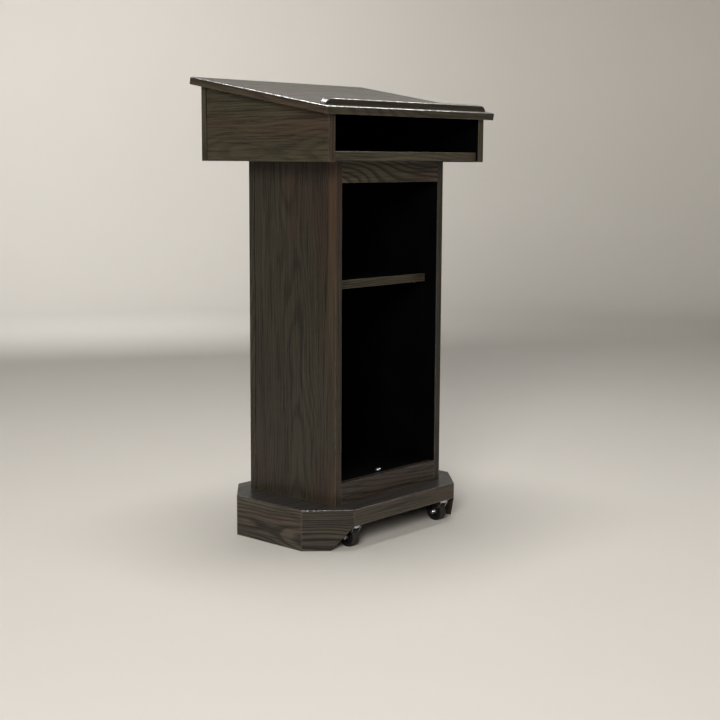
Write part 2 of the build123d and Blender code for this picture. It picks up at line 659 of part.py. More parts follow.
def make_axle(side, sign):
    """A hexagon bolt through the fork and the wheel, and its nut on the -X side."""
    with BuildPart() as axle:
        with BuildSketch(across(sign, LEG_OUTER)):
            RegularPolygon(AXLE_HEAD_AF / 2, 6, major_radius=False)
        extrude(amount=AXLE_HEAD_HEIGHT)
        chamfer(axle.faces().sort_by(Axis.X)[-1].edges(), EASE)
        with BuildSketch(across(sign, LEG_OUTER)):
            Circle(AXLE_RADIUS)
        extrude(amount=-(2 * LEG_OUTER + AXLE_NUT_HEIGHT + AXLE_TAIL))
    finish(axle, f"caster_axle_{side}")

    with BuildPart() as nut:
        with BuildSketch(across(sign, -LEG_OUTER)):
            RegularPolygon(AXLE_HEAD_AF / 2, 6, major_radius=False)
        extrude(amount=-AXLE_NUT_HEIGHT)
        chamfer(nut.faces().sort_by(Axis.X)[0].edges(), EASE)
        drill(across(sign, -LEG_OUTER), [(0, 0)], AXLE_RADIUS + PILOT_GAP, AXLE_NUT_HEIGHT)
    finish(nut, f"caster_nut_{side}")


def make_wheel(side, sign):
    """A moulded hub with a thin web between its boss and its rim, and a rubber tyre pressed on the rim."""
    bore = AXLE_RADIUS + RUNNING_GAP
    rim_half = TREAD_WIDTH / 2 - RIM_INSET
    half_outline = [
        (HUB_HALF_WIDTH, bore),
        (HUB_HALF_WIDTH, HUB_BOSS_RADIUS),
        WEB_FOOT,
        WEB_HEAD,
        (rim_half, RIM_INNER_RADIUS),
        (rim_half, RIM_RADIUS),
    ]
    spin = Axis((sign * CASTER_X, AXLE_Y, WHEEL_RADIUS), (1, 0, 0))
    with BuildPart() as hub:
        with BuildSketch(wheel_section(sign)):
            Polygon(*half_outline, *[(-x, y) for x, y in reversed(half_outline)], align=None)
        revolve(axis=spin)
    finish(hub, f"caster_hub_{side}")

    with BuildPart() as tyre:
        with BuildSketch(wheel_section(sign)) as tread:
            with Locations((0, (RIM_RADIUS + WHEEL_RADIUS) / 2)):
                Rectangle(TREAD_WIDTH, WHEEL_RADIUS - RIM_RADIUS)
            fillet(tread.vertices().group_by(Axis.Y)[-1], TREAD_ROUND)
        revolve(axis=spin)
    finish(tyre, f"caster_tyre_{side}")


for side, sign in SIDES.items():
    make_caster_block(side, sign)
    make_plate(side, sign)
    make_kingpin(side, sign)
    make_balls(side, sign)
    make_fork(side, sign)
    make_axle(side, sign)
    make_wheel(side, sign)
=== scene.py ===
import json
import math

import bmesh
import bpy
from mathutils import Matrix, Vector


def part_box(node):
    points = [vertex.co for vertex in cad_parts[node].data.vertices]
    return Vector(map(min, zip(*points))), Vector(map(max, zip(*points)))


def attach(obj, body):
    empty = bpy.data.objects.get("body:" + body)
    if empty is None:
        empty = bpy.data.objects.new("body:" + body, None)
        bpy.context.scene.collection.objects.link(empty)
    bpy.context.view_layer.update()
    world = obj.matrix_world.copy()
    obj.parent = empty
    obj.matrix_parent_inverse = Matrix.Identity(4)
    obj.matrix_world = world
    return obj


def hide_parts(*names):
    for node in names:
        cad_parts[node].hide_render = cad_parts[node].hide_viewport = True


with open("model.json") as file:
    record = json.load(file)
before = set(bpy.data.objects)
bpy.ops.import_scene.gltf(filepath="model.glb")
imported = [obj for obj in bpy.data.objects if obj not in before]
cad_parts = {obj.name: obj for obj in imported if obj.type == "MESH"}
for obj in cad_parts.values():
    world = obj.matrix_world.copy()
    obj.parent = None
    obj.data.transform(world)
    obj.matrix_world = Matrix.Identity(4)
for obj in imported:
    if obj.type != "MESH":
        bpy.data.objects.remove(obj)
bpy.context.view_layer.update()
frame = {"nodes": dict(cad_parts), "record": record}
NODES = frame["nodes"]
RECORD = frame["record"]
BODY_OF = {node: body for body, members in RECORD["behaviour"]["bodies"].items() for node in members}

X, Y, Z = Vector((1, 0, 0)), Vector((0, 1, 0)), Vector((0, 0, 1))
SLOPE = math.radians(9.8)
DIAGONAL = math.sqrt(0.5)
SIDES = ("left", "right")

# ---- Camera, at the photograph's place ------------------------------------------------------------
CAMERA_PLACE = Vector((-2.6944, -2.4458, 0.9657))
CAMERA_AZIMUTH = math.radians(-48.4076)
CAMERA_PITCH = math.radians(-8.2652)
CAMERA_ROLL = math.radians(0.29996)
CAMERA_LENS = 69.3007

ahead = Vector(
    (
        -math.sin(CAMERA_AZIMUTH) * math.cos(CAMERA_PITCH),
        math.cos(CAMERA_AZIMUTH) * math.cos(CAMERA_PITCH),
        math.sin(CAMERA_PITCH),
    )
)
level_right = ahead.cross(Z).normalized()
level_up = level_right.cross(ahead)
right = math.cos(CAMERA_ROLL) * level_right + math.sin(CAMERA_ROLL) * level_up
up = math.cos(CAMERA_ROLL) * level_up - math.sin(CAMERA_ROLL) * level_right
camera_data = bpy.data.cameras.new("camera")
camera_data.lens = CAMERA_LENS
camera_data.clip_start = 0.05
camera = bpy.data.objects.new("camera", camera_data)
camera.matrix_world = Matrix.Translation(CAMERA_PLACE) @ Matrix((right, up, -ahead)).transposed().to_4x4()
bpy.context.scene.collection.objects.link(camera)
bpy.context.scene.camera = camera
bpy.context.scene.view_settings.view_transform = "Standard"


# ---- Shader graph helpers -------------------------------------------------------------------------
class Graph:
    """Adds shader nodes to a tree, each in one call."""

    def __init__(self, tree):
        self.tree = tree

    def feed(self, socket, value):
        if isinstance(value, bpy.types.NodeSocket):
            self.tree.links.new(value, socket)
        else:
            socket.default_value = value

    def node(self, kind, inputs=None, **settings):
        made = self.tree.nodes.new("ShaderNode" + kind)
        for key, value in settings.items():
            setattr(made, key, value)
        for key, value in (inputs or {}).items():
            self.feed(made.inputs[key], value)
        return made

    def math(self, operation, *values, clamp=False):
        made = self.node("Math", operation=operation, use_clamp=clamp)
        for socket, value in zip(made.inputs, values):
            self.feed(socket, value)
        return made.outputs[0]

    def vector(self, operation, *values):
        made = self.node("VectorMath", operation=operation)
        for socket, value in zip(made.inputs, values):
            self.feed(socket, value)
        return made.outputs[1 if operation in ("DOT_PRODUCT", "LENGTH", "DISTANCE") else 0]

    def ramp(self, value, start, end, low=0.0, high=1.0):
        """low up to start, high from end, and a smooth step between them; start may be above end."""
        inputs = {"Value": value, "From Min": start, "From Max": end, "To Min": low, "To Max": high}
        return self.node("MapRange", inputs, interpolation_type="SMOOTHSTEP").outputs[0]

    def noise(self, place, stretch, detail=2.0, roughness=0.5, output="Fac"):
        """Noise that changes over about 1 / stretch metres on each axis."""
        scaled = self.vector("MULTIPLY", place, stretch)
        inputs = {"Vector": scaled, "Scale": 1.0, "Detail": detail, "Roughness": roughness}
        return self.node("TexNoise", inputs).outputs[output]

    def mix(self, share, a, b, blend="MIX"):
        made = self.node("Mix", data_type="RGBA", blend_type=blend, clamp_factor=True)
        for index, value in ((0, share), (6, a), (7, b)):
            self.feed(made.inputs[index], value)
        return made.outputs[2]

    def place(self):
        return self.node("TexCoord").outputs["Object"]

    def bump(self, height, distance=1.0):
        """Normal of a surface whose height is given in units of distance metres."""
        return self.node("Bump", {"Height": height, "Strength": 1.0, "Distance": distance}).outputs[0]

    def stain(self, shown, share, limit, towards):
        """Moves shown towards another colour by share, and at most by limit."""
        return self.mix(self.math("MULTIPLY", share, limit), shown, towards)


def new_material(name, **constants):
    """An empty Principled material with some of its sockets set to plain numbers."""
    material = bpy.data.materials.new(name)
    material.use_nodes = True
    material.node_tree.nodes.clear()
    graph = Graph(material.node_tree)
    surface = graph.node("BsdfPrincipled")
    graph.node("OutputMaterial", {"Surface": surface.outputs[0]})
    for socket, value in constants.items():
        surface.inputs[socket.replace("_", " ")].default_value = value
    return material, graph, surface


def colour(red, green, blue):
    return (red, green, blue, 1.0)


# ---- Oak: growth rings, pores and fibres as one node group in a board's own frame -----------------
STAIN_OLIVE, STAIN_RED = colour(0.0430, 0.0362, 0.0215), colour(0.0470, 0.0305, 0.0200)
EARLY_WOOD = colour(0.0078, 0.0062, 0.0042)
STREAK = colour(0.0056, 0.0046, 0.0036)
PORE = colour(0.0036, 0.0030, 0.0026)
WARM_WOOD = colour(0.0640, 0.0360, 0.0190)
WEAR_AND_PAINTED_GLINT = colour(0.085, 0.062, 0.042)
PAINTED_BLACK = colour(0.003, 0.003, 0.003)
HALF = (0.5, 0.5, 0.5)
DRIFT, WANDER = (0.0, 0.10, 0.10), (0.0, 0.0045, 0.0045)
RED_SHIFT = (3.1, 1.7, 0.4)
PITH_DEPTH = 0.085
RING_SPACING = 0.0046
RING_TAPER = 0.022
PIT_DEPTH, CLUSTER_DEPTH, LINE_DEPTH, FIBRE_HEIGHT = -0.00006, -0.00003, -0.00002, 0.00002


def make_oak_group():
    """Oak at a place in metres, with x along the grain. Figure is how dark the early wood gets."""
    tree = bpy.data.node_groups.new("oak_grain", "ShaderNodeTree")
    tree.interface.new_socket("Place", in_out="INPUT", socket_type="NodeSocketVector")
    tree.interface.new_socket("Figure", in_out="INPUT", socket_type="NodeSocketFloat")
    for name, kind in (("Colour", "Color"), ("Height", "Float"), ("Roughness", "Float")):
        tree.interface.new_socket(name, in_out="OUTPUT", socket_type="NodeSocket" + kind)
    graph = Graph(tree)
    place, figure = tree.nodes.new("NodeGroupInput").outputs[:2]

    drift = graph.noise(place, (1.1, 3.5, 3.5), detail=2.0, output="Color")
    drift = graph.vector("MULTIPLY", graph.vector("SUBTRACT", drift, HALF), DRIFT)
    wander = graph.noise(place, (6.0, 20.0, 20.0), detail=2.0, output="Color")
    wander = graph.vector("MULTIPLY", graph.vector("SUBTRACT", wander, HALF), WANDER)
    log = graph.vector("ADD", graph.vector("ADD", place, drift), wander)
    parts = graph.node("SeparateXYZ", {"Vector": log}).outputs
    depth = graph.math("ADD", parts["Z"], PITH_DEPTH)
    across = graph.math("MULTIPLY", parts["Y"], parts["Y"])
    radius = graph.math("SQRT", graph.math("ADD", across, graph.math("MULTIPLY", depth, depth)))
    radius = graph.math("ADD", radius, graph.math("MULTIPLY", parts["X"], RING_TAPER))
    ring = graph.math("FRACT", graph.math("DIVIDE", radius, RING_SPACING))
    early = graph.math("MULTIPLY", graph.ramp(ring, 0.0, 0.16), graph.ramp(ring, 0.66, 0.24))

    clusters = graph.ramp(graph.noise(place, (7.0, 260.0, 260.0), detail=3.0, roughness=0.6), 0.50, 0.64)
    pits = graph.ramp(graph.noise(place, (75.0, 1400.0, 1400.0), detail=2.0), 0.50, 0.64)
    pores = graph.math("MULTIPLY", pits, graph.math("MULTIPLY_ADD", early, 0.45, 0.2))
    pores = graph.math("ADD", pores, graph.math("MULTIPLY", clusters, 0.80), clamp=True)
    lines = graph.ramp(graph.noise(place, (3.0, 125.0, 125.0), detail=4.0, roughness=0.72), 0.50, 0.72)
    fibres = graph.noise(place, (40.0, 700.0, 700.0), detail=3.0, roughness=0.65)
    bands = graph.noise(place, (1.6, 85.0, 85.0), detail=3.0, roughness=0.6)
    patches = graph.noise(place, (2.2, 6.0, 6.0), detail=2.0)
    red_patches = graph.noise(graph.vector("ADD", place, RED_SHIFT), (2.0, 8.0, 8.0))

    base = graph.mix(graph.ramp(red_patches, 0.48, 0.66), STAIN_OLIVE, STAIN_RED)
    base = graph.stain(base, early, figure, EARLY_WOOD)
    base = graph.stain(base, lines, 0.75, STREAK)
    base = graph.stain(base, pores, 0.66, PORE)
    tone = graph.math("MULTIPLY_ADD", patches, 0.60, 0.70)
    tone = graph.math("MULTIPLY", tone, graph.math("MULTIPLY_ADD", bands, 0.80, 0.60))
    tone = graph.math("MULTIPLY", tone, graph.math("MULTIPLY_ADD", fibres, 0.60, 0.70))
    grey = graph.node("CombineColor", {"Red": tone, "Green": tone, "Blue": tone}).outputs[0]
    shown = graph.mix(1.0, base, grey, blend="MULTIPLY")

    height = graph.math("MULTIPLY", pits, PIT_DEPTH)
    height = graph.math("MULTIPLY_ADD", clusters, CLUSTER_DEPTH, height)
    height = graph.math("MULTIPLY_ADD", lines, LINE_DEPTH, height)
    height = graph.math("MULTIPLY_ADD", fibres, FIBRE_HEIGHT, height)
    roughness = graph.math("MULTIPLY_ADD", pores, 0.22, 0.40)
    roughness = graph.math("MULTIPLY_ADD", fibres, 0.14, roughness)

    done = tree.nodes.new("NodeGroupOutput")
    for socket, value in zip(done.inputs, (shown, height, roughness)):
        tree.links.new(value, socket)
    return tree


OAK = make_oak_group()


def local_size(obj, axes):
    """Middle and half size of obj's mesh along three axes, in metres."""
    spans = [[vertex.co.dot(axis) for vertex in obj.data.vertices] for axis in axes]
    middle = [(min(span) + max(span)) / 2 for span in spans]
    half = [(max(span) - min(span)) / 2 for span in spans]
    return middle, half


def board_frame(graph, obj, grain, width):
    """obj's place in its own frame, with x along the grain, and the distance to its nearest arris."""
    thick = grain.cross(width)
    middle, half = local_size(obj, (grain, width, thick))
    turn = Matrix((grain, width, thick)).transposed()
    inputs = {"Vector": graph.place(), "Location": turn @ Vector(middle), "Rotation": turn.to_euler()}
    local = graph.node("Mapping", inputs, vector_type="TEXTURE").outputs[0]
    parts = graph.node("SeparateXYZ", {"Vector": local}).outputs
    gaps = [graph.math("SUBTRACT", half[i], graph.math("ABSOLUTE", parts[i])) for i in range(3)]
    low, high = graph.math("MINIMUM", gaps[0], gaps[1]), graph.math("MAXIMUM", gaps[0], gaps[1])
    edge = graph.math("MAXIMUM", low, graph.math("MINIMUM", high, gaps[2]))
    return local, parts, edge


WEAR_AND_GLINT_FROM, WEAR_AND_GLINT_FULL = 0.0026, 0.0004
ARRIS_FROM, ARRIS_FULL = 0.0055, 0.0010
END_GRAIN = 0.75
FACING_DOWN = 0.5
DENT_DEPTH = 0.0005
COAT_ON_FLATS = 0.20
BEADS_LEAST, BEADS_MOST = -0.16, 0.80
COAT_FOLLOWS_GRAIN = 0.3


def oak_material(obj, grain, width, seed, tint, figure=0.45, cut=0.0, warm=None, painted=None):
    """Stained oak for one board. seed picks the board's place in the log and cut moves it off the middle,
    warm is a band of warmer wood across it as (place, half width), and painted is a box in X and Y
    inside which the board's lower face is black."""
    material, graph, surface = new_material(
        "oak_" + obj.name, IOR=1.47, Coat_Roughness=0.16, Coat_IOR=1.5, Specular_IOR_Level=0.16
    )
    local, parts, edge = board_frame(graph, obj, grain, width)
    facing = graph.node("NewGeometry").outputs["Normal"]
    swapped = graph.node("CombineXYZ", {"X": parts["Y"], "Y": parts["Z"], "Z": parts["X"]}).outputs[0]
    along_grain = graph.math("ABSOLUTE", graph.vector("DOT_PRODUCT", facing, grain))
    end = graph.math("GREATER_THAN", along_grain, END_GRAIN)
    chosen = graph.node("Mix", data_type="VECTOR")
    for index, value in ((0, end), (4, local), (5, swapped)):
        graph.feed(chosen.inputs[index], value)
    shift = (3.7 * seed + 0.31, cut + 0.013 * ((seed * 7) % 5 - 2), 0.009 * ((seed * 3) % 4))
    oak = graph.node("Group", node_tree=OAK)
    graph.feed(oak.inputs[0], graph.vector("ADD", chosen.outputs[1], shift))
    graph.feed(oak.inputs[1], figure)
    shown, height, roughness = oak.outputs
    shown = graph.mix(1.0, shown, colour(*tint), blend="MULTIPLY")
    if warm:
        middle, half = warm
        away = graph.math("ABSOLUTE", graph.math("SUBTRACT", parts["Y"], middle))
        band = graph.ramp(away, half, 0.3 * half)
        along = graph.ramp(graph.noise(local, (3.2, 20.0, 20.0), detail=3.0), 0.36, 0.60)
        band = graph.math("MULTIPLY", band, graph.math("MULTIPLY_ADD", along, 0.48, 0.08))
        shown = graph.mix(band, shown, WARM_WOOD)
    # Lighter brown on the arrises, broken into dots: wear, and partly a painted highlight of glints.
    breaks = graph.ramp(graph.noise(local, (75.0, 75.0, 75.0), detail=3.0, roughness=0.7), 0.44, 0.62)
    wear_and_painted_glint = graph.math("MULTIPLY", graph.ramp(edge, WEAR_AND_GLINT_FROM, WEAR_AND_GLINT_FULL), breaks)
    shown = graph.stain(shown, wear_and_painted_glint, 0.30, WEAR_AND_PAINTED_GLINT)
    if painted:
        inside = None
        split = graph.node("SeparateXYZ", {"Vector": graph.place()}).outputs
        for axis, (start, stop) in zip("XY", painted):
            for operation, limit in (("GREATER_THAN", start), ("LESS_THAN", stop)):
                test = graph.math(operation, split[axis], limit)
                inside = test if inside is None else graph.math("MULTIPLY", inside, test)
        down = graph.vector("DOT_PRODUCT", facing, (0.0, 0.0, -1.0))
        below = graph.math("GREATER_THAN", down, FACING_DOWN)
        inside = graph.math("MULTIPLY", inside, below)
        shown = graph.mix(inside, shown, PAINTED_BLACK)
        roughness = graph.math("MULTIPLY_ADD", inside, 0.4, roughness)
    dents = graph.noise(local, (170.0, 170.0, 170.0), detail=2.0)
    arris = graph.ramp(edge, ARRIS_FROM, ARRIS_FULL)
    dented = graph.math("MULTIPLY", graph.math("MULTIPLY", arris, dents), DENT_DEPTH)
    skin = graph.math("MULTIPLY_ADD", height, COAT_FOLLOWS_GRAIN, dented)
    beads = graph.math("MULTIPLY", arris, graph.ramp(dents, 0.44, 0.54, BEADS_LEAST, BEADS_MOST))
    graph.feed(surface.inputs["Coat Weight"], graph.math("ADD", beads, COAT_ON_FLATS))
    graph.feed(surface.inputs["Base Color"], shown)
    graph.feed(surface.inputs["Roughness"], roughness)
    graph.feed(surface.inputs["Normal"], graph.bump(graph.math("ADD", height, dented)))
    graph.feed(surface.inputs["Coat Normal"], graph.bump(skin))
    return material


HARDWOOD_LIGHT, HARDWOOD_DARK = colour(0.135, 0.104, 0.078), colour(0.078, 0.058, 0.043)
HARDWOOD_PORE, HARDWOOD_PALE = colour(0.05, 0.037, 0.028), colour(0.155, 0.118, 0.085)
HARDWOOD_ARRIS = colour(0.17, 0.135, 0.10)
SAW_MARKS = 2200.0


def hardwood_material(obj, grain, width, seed):
    """Plain stained hardwood with fine straight grain and sawn faces, for cleats and blocks."""
    material, graph, surface = new_material("hardwood_" + obj.name, IOR=1.45)
    local, parts, edge = board_frame(graph, obj, grain, width)
    place = graph.vector("ADD", local, (2.9 * seed, 0.4 * seed, 0.0))
    lines = graph.noise(place, (6.0, 190.0, 190.0), detail=4.0, roughness=0.6)
    fibres = graph.noise(place, (60.0, 1300.0, 1300.0), detail=2.0)
    clouds = graph.noise(place, (9.0, 22.0, 22.0), detail=3.0)
    saw = graph.math("SINE", graph.math("MULTIPLY", parts["X"], SAW_MARKS))
    shown = graph.mix(graph.ramp(lines, 0.35, 0.65), HARDWOOD_LIGHT, HARDWOOD_DARK)
    shown = graph.stain(shown, graph.ramp(fibres, 0.55, 0.75), 0.5, HARDWOOD_PORE)
    shown = graph.stain(shown, graph.ramp(clouds, 0.4, 0.7), 0.35, HARDWOOD_PALE)
    shown = graph.stain(shown, graph.ramp(edge, 0.0022, 0.0003), 0.4, HARDWOOD_ARRIS)
    height = graph.math("MULTIPLY", fibres, 0.00008)
    height = graph.math("MULTIPLY_ADD", saw, 0.000012, height)
    height = graph.math("MULTIPLY_ADD", lines, 0.00005, height)
    graph.feed(surface.inputs["Base Color"], shown)
    graph.feed(surface.inputs["Roughness"], graph.math("MULTIPLY_ADD", fibres, 0.2, 0.6))
    graph.feed(surface.inputs["Normal"], graph.bump(height))
    return material


BLACK_DEEP, BLACK_PALE = colour(0.0005, 0.0006, 0.0012), colour(0.0011, 0.0011, 0.0017)
BLACK_DUST, BLACK_SPECK = colour(0.035, 0.034, 0.031), colour(0.16, 0.155, 0.14)


def black_material():
    """Flat black finish inside the box and the column, with a little dust on level faces."""
    material, graph, surface = new_material("flat_black", IOR=1.45, Specular_IOR_Level=0.02)
    place = graph.place()
    facing = graph.node("NewGeometry").outputs["Normal"]
    clouds = graph.noise(place, (14.0, 14.0, 14.0), detail=4.0, roughness=0.6)
    peel = graph.noise(place, (620.0, 620.0, 620.0), detail=3.0)
    specks = graph.noise(place, (260.0, 260.0, 260.0), detail=4.0, roughness=0.8)
    level = graph.ramp(graph.vector("DOT_PRODUCT", facing, (0.0, 0.0, 1.0)), 0.8, 0.95)
    dust = graph.math("MULTIPLY", level, graph.math("MULTIPLY", clouds, 0.05))
    shown = graph.mix(graph.ramp(clouds, 0.3, 0.7), BLACK_DEEP, BLACK_PALE)
    shown = graph.mix(dust, shown, BLACK_DUST)
    shown = graph.stain(shown, graph.ramp(specks, 0.735, 0.77), level, BLACK_SPECK)
    graph.feed(surface.inputs["Base Color"], shown)
    graph.feed(surface.inputs["Roughness"], graph.math("MULTIPLY_ADD", peel, 0.15, 0.78))
    graph.feed(surface.inputs["Normal"], graph.bump(peel, 0.00006))
    return material


ZINC_BLUE, ZINC_PALE = colour(0.34, 0.35, 0.365), colour(0.50, 0.51, 0.52)
ZINC_DULL, ZINC_SCRATCH = colour(0.16, 0.158, 0.152), colour(0.66, 0.66, 0.66)


def zinc_material(name, painted_light_gain):
    """Zinc plate: cloudy, with fine rolling scratches and dull patches. painted_light_gain scales its
    colour: above 1 it paints a highlight, below 1 it paints shade.
    """
    material, graph, surface = new_material(name, Metallic=1.0)
    place = graph.place()
    clouds = graph.noise(place, (90.0, 90.0, 90.0), detail=4.0, roughness=0.6)
    grain = graph.noise(place, (900.0, 900.0, 900.0), detail=3.0, roughness=0.7)
    scratches = graph.ramp(graph.noise(place, (160.0, 3800.0, 700.0), detail=2.0), 0.60, 0.70)
    dull = graph.ramp(graph.noise(place, (55.0, 55.0, 55.0), detail=5.0, roughness=0.7), 0.52, 0.66)
    shown = graph.mix(graph.ramp(clouds, 0.35, 0.65), ZINC_BLUE, ZINC_PALE)
    shown = graph.stain(shown, dull, 0.55, ZINC_DULL)
    shown = graph.stain(shown, scratches, 0.4, ZINC_SCRATCH)
    shown = graph.mix(1.0, shown, colour(painted_light_gain, painted_light_gain, painted_light_gain), blend="MULTIPLY")
    roughness = graph.math("MULTIPLY_ADD", clouds, 0.16, 0.20)
    roughness = graph.math("MULTIPLY_ADD", dull, 0.22, roughness)
    height = graph.math("MULTIPLY_ADD", scratches, -0.3, grain)
    graph.feed(surface.inputs["Base Color"], shown)
    graph.feed(surface.inputs["Roughness"], roughness)
    graph.feed(surface.inputs["Normal"], graph.bump(height, 0.00002))
    return material


NYLON_DARK, NYLON_PALE = colour(0.0040, 0.0040, 0.0042), colour(0.0075, 0.0075, 0.0078)
NYLON_SCUFF = colour(0.028, 0.027, 0.025)


def nylon_material():
    """Black moulded nylon with a fine spark-eroded skin and scuffs."""
    material, graph, surface = new_material("moulded_nylon", IOR=1.5, Specular_IOR_Level=0.22)
    place = graph.place()
    skin = graph.noise(place, (2400.0, 2400.0, 2400.0), detail=2.0)
    clouds = graph.noise(place, (120.0, 120.0, 120.0), detail=4.0)
    scuffs = graph.ramp(graph.noise(place, (300.0, 1400.0, 300.0), detail=3.0), 0.62, 0.72)
    shown = graph.mix(clouds, NYLON_DARK, NYLON_PALE)
    shown = graph.stain(shown, scuffs, 0.5, NYLON_SCUFF)
    graph.feed(surface.inputs["Base Color"], shown)
    graph.feed(surface.inputs["Roughness"], graph.math("MULTIPLY_ADD", clouds, 0.2, 0.42))
    graph.feed(surface.inputs["Normal"], graph.bump(skin, 0.00003))
    return material


RUBBER_DARK, RUBBER_PALE = colour(0.0055, 0.0055, 0.0057), colour(0.0095, 0.0092, 0.0088)
CARPET_DUST = colour(0.060, 0.052, 0.041)
TREAD_FROM, TREAD_FULL = 0.0232, 0.0246


def rubber_material(name, axle):
    """Black rubber whose tread has picked up carpet dust. axle is a point on the wheel's axis."""
    material, graph, surface = new_material(name, IOR=1.5, Specular_IOR_Level=0.2)
    place = graph.vector("SUBTRACT", graph.place(), axle)
    flat = graph.vector("MULTIPLY", place, (0.0, 1.0, 1.0))
    tread = graph.ramp(graph.vector("LENGTH", flat), TREAD_FROM, TREAD_FULL)
    clouds = graph.noise(place, (180.0, 180.0, 180.0), detail=5.0, roughness=0.7)
    grain = graph.noise(place, (1600.0, 1600.0, 1600.0), detail=3.0)
    dust = graph.math("MULTIPLY", tread, graph.ramp(clouds, 0.36, 0.62))
    shown = graph.mix(clouds, RUBBER_DARK, RUBBER_PALE)
    shown = graph.stain(shown, dust, 0.55, CARPET_DUST)
    graph.feed(surface.inputs["Base Color"], shown)
    graph.feed(surface.inputs["Roughness"], graph.math("MULTIPLY_ADD", dust, 0.2, 0.62))
    graph.feed(surface.inputs["Normal"], graph.bump(grain, 0.00006))
    return material


# ---- Pieces ---------------------------------------------------------------------------------------
SHARP = math.radians(30)
FLAT_ENOUGH = math.radians(0.3)
NARROW = 0.0026
JOIN_WITHIN = 2e-6


def settle(piece, node):
    """Puts piece in node's stead: on its body, and the node hidden."""
    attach(piece, BODY_OF[node])
    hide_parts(node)


def clean_shape(node):
    """node's shape with its split vertices joined and its flat faces whole."""
    shape = bmesh.new()
    shape.from_mesh(NODES[node].data)
    bmesh.ops.remove_doubles(shape, verts=shape.verts, dist=JOIN_WITHIN)
    bmesh.ops.dissolve_limit(shape, angle_limit=FLAT_ENOUGH, verts=shape.verts, edges=shape.edges)
    return shape


def is_sharp(edge):
    """Sharp enough to be eased, and to break the shading."""
    return len(edge.link_faces) == 2 and edge.calc_face_angle() > SHARP


def round_edges(shape, edges, radius, segments=2):
    """Turns edges into rounds of segments facets."""
    bmesh.ops.bevel(
        shape,
        geom=edges,
        offset=radius,
        offset_type="OFFSET",
        segments=segments,
        profile=0.5,
        affect="EDGES",
        clamp_overlap=True,
    )


def mark_sharp_edges(shape):
    """Shading breaks at sharp edges and runs on over the others."""
    shape.normal_update()
    for edge in shape.edges:
        edge.smooth = not is_sharp(edge)


def ease(shape, radius, shortest):
    """Rounds the sharp edges that are longer than shortest, where radius is above 0. Wide flat faces are
    then shaded flat and the narrow facets of rounds smooth, up to the edges that are still sharp."""
    if radius:
        arrises = [edge for edge in shape.edges if is_sharp(edge) and edge.calc_length() > shortest]
        round_edges(shape, arrises, radius)
    mark_sharp_edges(shape)
    for face in shape.faces:
        longest = max(edge.calc_length() for edge in face.edges)
        face.smooth = face.calc_area() / longest < NARROW


def new_piece(name, shape, materials):
    """An object made of shape, which is freed."""
    mesh = bpy.data.meshes.new(name)
    shape.to_mesh(mesh)
    shape.free()
    for material in materials:
        mesh.materials.append(material)
    piece = bpy.data.objects.new(name, mesh)
    bpy.context.scene.collection.objects.link(piece)
    return piece


BLACK, NYLON = black_material(), nylon_material()
# Lit and shaded copies of the zinc. The lit copy paints highlights on nuts, bolts and fork edges, and the
# shaded copy paints shade on plates and fork faces.
PAINTED_HIGHLIGHT_GAIN, PAINTED_SHADE_GAIN = 1.5, 0.40
LIT_ZINC, SHADED_ZINC = zinc_material("zinc_plate", PAINTED_HIGHLIGHT_GAIN), zinc_material("shaded_zinc_plate", PAINTED_SHADE_GAIN)
TOP_ACROSS = Vector((0, math.cos(SLOPE), math.sin(SLOPE)))
LEFT_AHEAD, RIGHT_AHEAD = Vector((DIAGONAL, -DIAGONAL, 0)), Vector((DIAGONAL, DIAGONAL, 0))
# The column's tint is darker: partly its own tone, partly painted shade under the box.
BOX_TINT, COLUMN_TONE_AND_PAINTED_SHADE, BASE_TINT = (1.04, 1.06, 1.02), (0.76, 0.77, 0.84), (0.95, 0.95, 1.12)
BOX_INSIDE = (
    (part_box("box_side_left")[1].x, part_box("box_side_right")[0].x),
    (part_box("box_side_left")[0].y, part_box("box_front_panel")[0].y),
)
